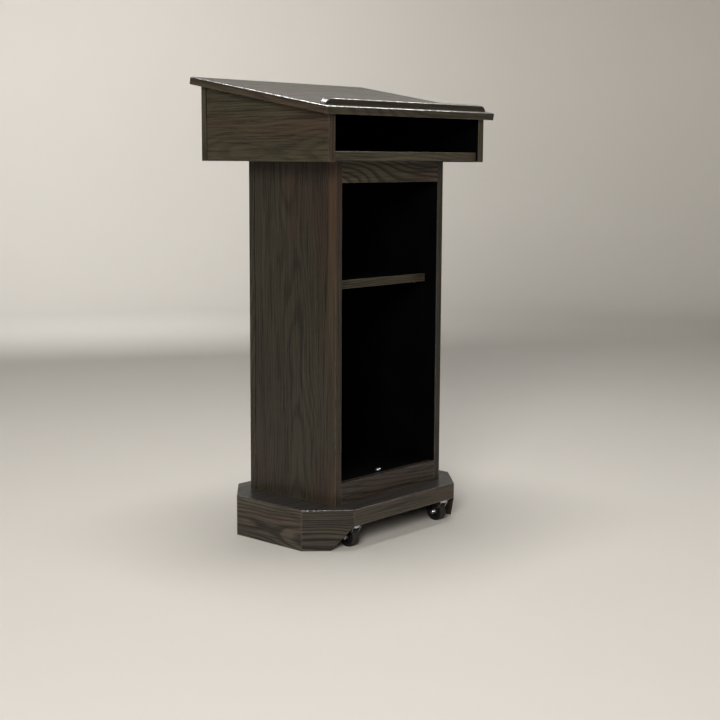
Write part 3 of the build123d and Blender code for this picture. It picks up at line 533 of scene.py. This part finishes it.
# grain and width are the board's own directions, and black holds the ways that its black faces look. tint
# is the board's tone, and on some boards also painted light or shade.
BOARDS = {
    "reading_top": dict(grain=X, width=TOP_ACROSS, tint=BOX_TINT, painted=BOX_INSIDE),
    "book_stop": dict(grain=X, width=TOP_ACROSS, tint=(0.8, 0.8, 0.8)),
    "box_side_left": dict(grain=Y, width=Z, black=(X,), tint=BOX_TINT, figure=0.30, cut=0.05),
    "box_side_right": dict(grain=Y, width=Z, black=(-X,), tint=BOX_TINT, figure=0.35, cut=-0.05),
    "box_front_panel": dict(grain=X, width=Z, black=(-Y,), tint=BOX_TINT),
    "box_floor": dict(grain=X, width=Y, black=(Z,), tint=(1.5, 1.52, 1.45)),
    "column_side_left": dict(
        grain=Z, width=Y, black=(X,), tint=COLUMN_TONE_AND_PAINTED_SHADE, figure=0.38, warm=(-0.1300, 0.017)
    ),
    "column_side_right": dict(grain=Z, width=Y, black=(-X,), tint=COLUMN_TONE_AND_PAINTED_SHADE, figure=0.38),
    "column_front_panel": dict(grain=Z, width=X, black=(-Y,), tint=COLUMN_TONE_AND_PAINTED_SHADE, figure=0.5),
    "column_top_rail": dict(grain=X, width=Z, black=(Y,), tint=(1.35, 1.40, 1.42), figure=0.85, cut=0.03),
    "column_bottom_rail": dict(grain=X, width=Z, black=(Y,), tint=BASE_TINT, figure=0.6, cut=0.08),
    "middle_shelf": dict(grain=X, width=Y, black=(Z, -Z, X, -X, Y), tint=BOX_TINT, figure=0.6, cut=0.05),
    # The plinth top's dark tint is painted shade under the reading top.
    "plinth_top": dict(grain=X, width=Y, tint=(0.55, 0.52, 0.62)),
    # The left skirt's paler tint is painted light, the carpet's bounce.
    "skirt_left": dict(grain=Y, width=Z, tint=(1.42, 1.44, 1.75), figure=0.75, cut=0.02),
    "skirt_right": dict(grain=Y, width=Z, tint=BASE_TINT, figure=0.5),
    # The speaker's skirt's pale grey tint is a painted reflection of the carpet.
    "skirt_speaker": dict(grain=X, width=Z, tint=(1.35, 1.37, 1.6), figure=0.25, cut=0.1),
    "skirt_audience": dict(grain=X, width=Z, tint=BASE_TINT, figure=0.5),
    "corner_speaker_left": dict(grain=LEFT_AHEAD, width=Z, tint=(1.0, 0.98, 1.12), figure=1.0, cut=0.055),
    "corner_speaker_right": dict(grain=RIGHT_AHEAD, width=Z, tint=BASE_TINT, figure=0.6),
    "corner_audience_left": dict(grain=RIGHT_AHEAD, width=Z, tint=BASE_TINT, figure=0.6),
    "corner_audience_right": dict(grain=LEFT_AHEAD, width=Z, tint=BASE_TINT, figure=0.6),
}
ARRIS = 0.0007
SHORTEST_EASED = 0.004
FACES_SAME_WAY = 0.9
BOX_FLOOR_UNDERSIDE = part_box("box_floor")[0].z

for seed, (node, finish) in enumerate(BOARDS.items()):
    black = finish.pop("black", ())
    black_from = BOX_FLOOR_UNDERSIDE if node.startswith("box_") else 0.0
    shape = clean_shape(node)
    if black_from:
        whole = [*shape.verts, *shape.edges, *shape.faces]
        bmesh.ops.bisect_plane(shape, geom=whole, plane_co=Z * black_from, plane_no=Z)
    ease(shape, ARRIS, SHORTEST_EASED)
    for face in shape.faces:
        above = face.calc_center_median().z > black_from
        if above and not face.smooth and any(face.normal.dot(way) > FACES_SAME_WAY for way in black):
            face.material_index = 1
    material = oak_material(NODES[node], seed=seed, **finish)
    settle(new_piece(node + "_oak", shape, [material, BLACK]), node)

# Grain and width of the blocks that stay bare. The pieces in INSIDE are black all over.
BLOCKS = {
    "glue_blocks": (Y, Z),
    "caster_block_left": (X, Y),
    "caster_block_right": (X, Y),
    "floor_cleat_speaker": (X, Y),
    "floor_cleat_audience": (X, Y),
}
INSIDE = ("column_floor", "column_cleat_left", "column_cleat_right", "top_cleat_left", "top_cleat_right")
for seed, node in enumerate([*BLOCKS, *INSIDE]):
    shape = clean_shape(node)
    ease(shape, ARRIS, SHORTEST_EASED)
    material = BLACK if node in INSIDE else hardwood_material(NODES[node], *BLOCKS[node], seed)
    settle(new_piece(node + "_wood", shape, [material]), node)

# ---- Fasteners and caster metal -------------------------------------------------------------------
# Radius in metres of the eased arrises of each node, or 0 for none.
METAL_EDGES = {
    "base_bolts": 0.0004,
    "base_nuts": 0.0005,
    "base_washers": 0.0003,
    "shelf_pins": 0.0004,
    "top_cleat_screws": 0.0,
    "book_stop_screws": 0.0,
    "column_cleat_screws": 0.0,
}
for side in SIDES:
    METAL_EDGES |= {
        f"caster_plate_{side}": 0.0005,
        f"caster_kingpin_{side}": 0.0003,
        f"caster_balls_{side}": 0.0,
        f"caster_screws_{side}": 0.0,
        f"caster_axle_{side}": 0.0004,
        f"caster_nut_{side}": 0.0004,
    }
METAL_SHORTEST = 0.0009
PAINTED_OVER = ("top_cleat_screws", "column_cleat_screws")
for node, radius in METAL_EDGES.items():
    shape = clean_shape(node)
    ease(shape, radius, METAL_SHORTEST)
    if node == "base_bolts":
        for face in shape.faces:
            behind = face.calc_center_median().y > 0
            face.material_index = int(behind)
    if node in PAINTED_OVER:
        finish = [BLACK]
    # Plates take the shaded zinc: painted shade under the apron.
    elif "plate" in node:
        finish = [SHADED_ZINC]
    else:
        finish = [LIT_ZINC, BLACK]
    settle(new_piece(node + "_zinc", shape, finish), node)

FORK_BEND = 0.0021
FORK_BEND_SEGMENTS = 4
FORK_ARRIS = 0.0004
TOUCHING = 1e-5


def find_bends(shape, low, high):
    """The edges where a fork's crown turns down into its two legs."""
    crown_top = max(vert.co.z for vert in shape.verts if abs(vert.co.x - low.x) < TOUCHING)

    def at_bend(vert):
        outermost = min(vert.co.x - low.x, high.x - vert.co.x) < TOUCHING
        return outermost and crown_top - vert.co.z < TOUCHING

    return [edge for edge in shape.edges if is_sharp(edge) and all(map(at_bend, edge.verts))]


for side in SIDES:
    node = f"caster_fork_{side}"
    shape = clean_shape(node)
    bends = find_bends(shape, *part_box(node))
    round_edges(shape, bends, FORK_BEND, FORK_BEND_SEGMENTS)
    ease(shape, FORK_ARRIS, METAL_SHORTEST)
    # Narrow sheet edges take the lit zinc, a painted highlight. The wide faces take the shaded zinc,
    # painted shade.
    for face in shape.faces:
        face.material_index = int(face.smooth)
    settle(new_piece(node + "_zinc", shape, [SHADED_ZINC, LIT_ZINC]), node)

# ---- Caster wheels --------------------------------------------------------------------------------
# Lengths are in millimetres. An outline is half a ring's section, as points (along the axle, radius).
MM_IN_METRE = 1000
WHEEL_STEPS = 96
HUB_OUTLINE = [
    (12.5, 3.06), (12.5, 5.9), (12.2, 6.35), (11.6, 6.5), (5.2, 7.6), (4.2, 8.3), (3.8, 10.0),
    (3.6, 14.6), (4.4, 15.9), (9.6, 17.6), (10.0, 18.2), (10.0, 21.0),
]
TYRE_OUTLINE = [
    (11.0, 21.0), (11.0, 22.0), (10.85, 22.9), (10.3, 23.9), (9.4, 24.6), (8.2, 24.93), (7.4, 25.0),
    (5.4, 25.0), (5.2, 24.75), (4.8, 24.75), (4.6, 25.0), (0.0, 25.0),
]
RIBS = 6
RIB_FOOT, RIB_FOOT_HALF, RIB_TOP_HALF = 3.3, 0.95, 0.6
RIB_ENDS = ((9.6, 6.2), (8.2, 17.4))
BOX_LOOPS = ((0, 1, 3, 2), (4, 6, 7, 5), (0, 4, 5, 1), (2, 3, 7, 6), (0, 2, 6, 4), (1, 5, 7, 3))


def add_ring_of(shape, outline, axle):
    """Turns a closed outline round the axle, which runs along X, into smooth faces."""
    rings = []
    for step in range(WHEEL_STEPS):
        angle = 2 * math.pi * step / WHEEL_STEPS
        ring = []
        for along, radius in outline:
            place = Vector((along, radius * math.cos(angle), radius * math.sin(angle))) / MM_IN_METRE
            ring.append(shape.verts.new(axle + place))
        rings.append(ring)
    for step in range(WHEEL_STEPS):
        here, after = rings[step], rings[(step + 1) % WHEEL_STEPS]
        for index in range(len(outline)):
            following = (index + 1) % len(outline)
            face = shape.faces.new((here[index], here[following], after[following], after[index]))
            face.smooth = True


def both_ways(outline):
    """The outline and its mirror image, as one closed loop."""
    mirrored = [(-along, radius) for along, radius in reversed(outline) if along > 0]
    return outline + mirrored


def add_rib(shape, axle, angle, sign):
    """A moulded rib from the boss to the rim, thinner at its top than at its foot."""
    outward = Vector((0, math.cos(angle), math.sin(angle)))
    sideways = Vector((0, -math.sin(angle), math.cos(angle)))
    corners = []
    for top, radius in RIB_ENDS:
        for along, half in ((RIB_FOOT, RIB_FOOT_HALF), (top, RIB_TOP_HALF)):
            for way in (-1, 1):
                place = X * (sign * along) + outward * radius + sideways * (way * half)
                corners.append(shape.verts.new(axle + place / MM_IN_METRE))
    for loop in BOX_LOOPS:
        shape.faces.new([corners[index] for index in loop])


for side in SIDES:
    low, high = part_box(f"caster_tyre_{side}")
    axle = (low + high) / 2
    tyre = bmesh.new()
    add_ring_of(tyre, both_ways(TYRE_OUTLINE), axle)
    bmesh.ops.recalc_face_normals(tyre, faces=tyre.faces)
    mark_sharp_edges(tyre)
    rubber = rubber_material(f"rubber_{side}", axle)
    settle(new_piece(f"caster_tyre_{side}_tread", tyre, [rubber]), f"caster_tyre_{side}")

    hub = bmesh.new()
    add_ring_of(hub, both_ways(HUB_OUTLINE), axle)
    for rib in range(RIBS):
        for sign in (-1, 1):
            add_rib(hub, axle, 2 * math.pi * (rib + 0.5) / RIBS, sign)
    bmesh.ops.recalc_face_normals(hub, faces=hub.faces)
    mark_sharp_edges(hub)
    settle(new_piece(f"caster_hub_{side}_nylon", hub, [NYLON]), f"caster_hub_{side}")

# ---- Stage: a round pale studio, with soft lights -------------------------------------------------
FLOOR_RADIUS = 5.2
COVE_RADIUS = 1.6
WALL_HEIGHT = 5.5
STEPS_ROUND = 96
FLOOR_RINGS = 8
COVE_STEPS = 16
PAPER_DARK, PAPER_PALE = colour(0.62, 0.595, 0.555), colour(0.66, 0.635, 0.595)


def make_studio():
    """A round pale floor that bends up through a cove into a wall all round."""
    profile = [(FLOOR_RADIUS * step / FLOOR_RINGS, 0.0) for step in range(1, FLOOR_RINGS + 1)]
    for step in range(1, COVE_STEPS + 1):
        angle = math.pi / 2 * step / COVE_STEPS
        radius = FLOOR_RADIUS + COVE_RADIUS * math.sin(angle)
        profile.append((radius, COVE_RADIUS * (1 - math.cos(angle))))
    profile.append((FLOOR_RADIUS + COVE_RADIUS, WALL_HEIGHT))
    shape = bmesh.new()
    turns = [2 * math.pi * step / STEPS_ROUND for step in range(STEPS_ROUND)]
    rings = []
    for radius, height in profile:
        places = [(radius * math.cos(turn), radius * math.sin(turn), height) for turn in turns]
        rings.append([shape.verts.new(place) for place in places])
    shape.faces.new(rings[0])
    for inner, outer in zip(rings, rings[1:]):
        for step in range(STEPS_ROUND):
            after = (step + 1) % STEPS_ROUND
            shape.faces.new((inner[step], outer[step], outer[after], inner[after]))
    for face in shape.faces:
        face.smooth = True
    material, graph, surface = new_material("studio_paper", Roughness=0.85, Specular_IOR_Level=0.2)
    clouds = graph.noise(graph.place(), (0.8, 0.8, 0.8))
    graph.feed(surface.inputs["Base Color"], graph.mix(clouds, PAPER_DARK, PAPER_PALE))
    studio = new_piece("studio_floor", shape, [material])


make_studio()

AIR_COLOUR, AIR_STRENGTH = colour(0.80, 0.86, 0.95), 0.06
world = bpy.data.worlds.new("studio_air")
world.use_nodes = True
air = world.node_tree.nodes["Background"]
air.inputs["Color"].default_value = AIR_COLOUR
air.inputs["Strength"].default_value = AIR_STRENGTH
bpy.context.scene.world = world

LOOK_AT = Vector((0, 0, 0.6))
WHITE, WARM_WHITE, WARMER_WHITE = (1.0, 1.0, 1.0), (1.0, 0.98, 0.96), (1.0, 0.97, 0.92)


def soft_light(name, place, size, power, tint=WHITE, target=LOOK_AT, glossy_only=False):
    """A rectangular lamp that the camera doesn't see. A glossy_only lamp shows in reflections alone."""
    data = bpy.data.lights.new(name, "AREA")
    data.shape = "RECTANGLE"
    data.size, data.size_y = size
    data.energy = power
    data.color = tint
    light = bpy.data.objects.new(name, data)
    place = Vector(place)
    light.rotation_mode = "QUATERNION"
    light.rotation_quaternion = (target - place).to_track_quat("-Z", "Y")
    light.location = place
    light.visible_camera = False
    light.visible_diffuse = not glossy_only
    bpy.context.scene.collection.objects.link(light)


TOP_NEAR_EDGE = Vector((-0.2, -0.23, 1.08))
TOP_LEFT_EDGE = Vector((-0.32, -0.15, 1.09))
PLINTH_CORNER = Vector((-0.25, -0.17, 0.1))
WALL_BEHIND = Vector((3.6, 6.2, 1.2))
soft_light("key", (-4.9, -3.3, 2.7), (2.0, 2.0), 330.0, WARMER_WHITE)
soft_light("overhead", (0.0, 0.1, 3.9), (1.5, 1.5), 85.0, WARM_WHITE)
soft_light("right_rim", (1.8, -0.53, 3.04), (2.2, 1.0), 150.0, target=TOP_NEAR_EDGE, glossy_only=True)
soft_light("back_rim", (-0.48, 1.3, 3.24), (0.8, 0.5), 130.0, target=TOP_LEFT_EDGE, glossy_only=True)
soft_light("arris", (-0.38, -0.40, 3.7), (0.6, 0.6), 110.0, target=PLINTH_CORNER, glossy_only=True)
soft_light("wall_wash", (1.8, 3.4, 2.2), (2.2, 1.6), 60.0, target=WALL_BEHIND)
